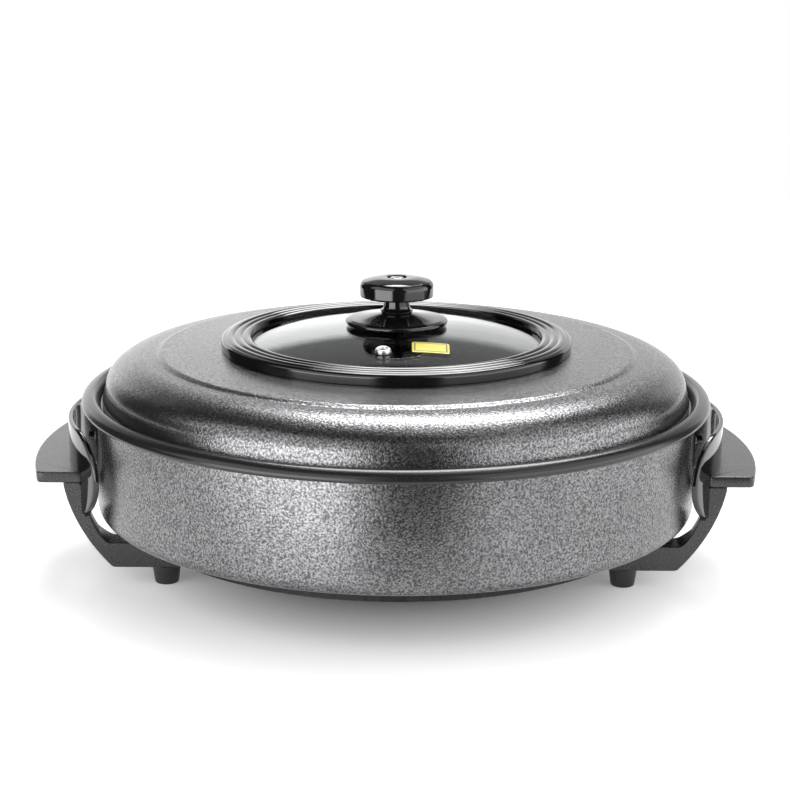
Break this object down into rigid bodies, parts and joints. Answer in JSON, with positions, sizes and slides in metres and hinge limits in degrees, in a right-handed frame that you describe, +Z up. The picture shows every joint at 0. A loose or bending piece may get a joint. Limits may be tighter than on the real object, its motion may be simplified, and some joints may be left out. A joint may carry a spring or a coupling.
{
  "type": "electric multi pan",
  "caption": "Round deep electric pan on side handles with legs, with a lift-off domed lid that has a glass window, a steam vent and a knob.",
  "frame": {"origin": "on the floor, under the pan's axis", "axes": "+Z up along the pan's axis, +X towards the handle with the inlet under it, -Y the front"},
  "size_m": [0.46, 0.4, 0.1853],
  "materials": {
    "hammered_coating": "hammered paint on aluminium",
    "window_glass": "clear tempered",
    "gloss_black": "polished",
    "satin_black": "satin",
    "foot_black": "matt",
    "soft_seal": "matt",
    "fastener_steel": "bright",
    "sheet_steel": "satin",
    "element_sheath": "dull, heat-marked",
    "sleeve_brass": "satin",
    "contact_plating": "bright",
    "bush_ceramic": "matt",
    "sticker_yellow": "printed film"
  },
  "bodies": {
    "base": {"pan": "hammered_coating", "guard_left": "gloss_black", "guard_right": "gloss_black", "grip_left": "satin_black", "grip_right": "satin_black", "leg_front_left": "satin_black", "leg_rear_left": "satin_black", "leg_front_right": "satin_black", "leg_rear_right": "satin_black", "inlet_shroud": "satin_black", "foot_1": "foot_black", "foot_2": "foot_black", "foot_3": "foot_black", "foot_4": "foot_black", "clamp_screws": "fastener_steel", "sleeve_clamp_screws": "fastener_steel", "inlet_screws": "fastener_steel", "foot_screws": "fastener_steel", "leg_screws": "fastener_steel", "guard_screws": "fastener_steel", "bottom_cover": "sheet_steel", "element_clamp_1": "sheet_steel", "element_clamp_2": "sheet_steel", "element_clamp_3": "sheet_steel", "sleeve_clamp": "sheet_steel", "heating_element": "element_sheath", "probe_sleeve": "sleeve_brass", "inlet_pins": "contact_plating", "pin_bushes": "bush_ceramic"},
    "lid": {"lid_shell": "hammered_coating", "window_glass": "window_glass", "window_frame": "gloss_black", "window_gasket": "soft_seal", "clamp_ring": "satin_black", "ring_screws": "fastener_steel", "knob_grip": "gloss_black", "knob_flange": "gloss_black", "knob_seal": "soft_seal", "knob_screw": "fastener_steel", "inner_seal": "soft_seal", "knob_washer": "fastener_steel", "knob_nut": "fastener_steel", "vent_eyelet": "contact_plating", "vent_grommet": "soft_seal", "plain_sticker": "sticker_yellow"}
  },
  "joints": [
    {"name": "lid_lift", "type": "slide", "parent": "base", "child": "lid", "axis": [0, 0, 1], "range_m": [0, 0.15]}
  ]
}
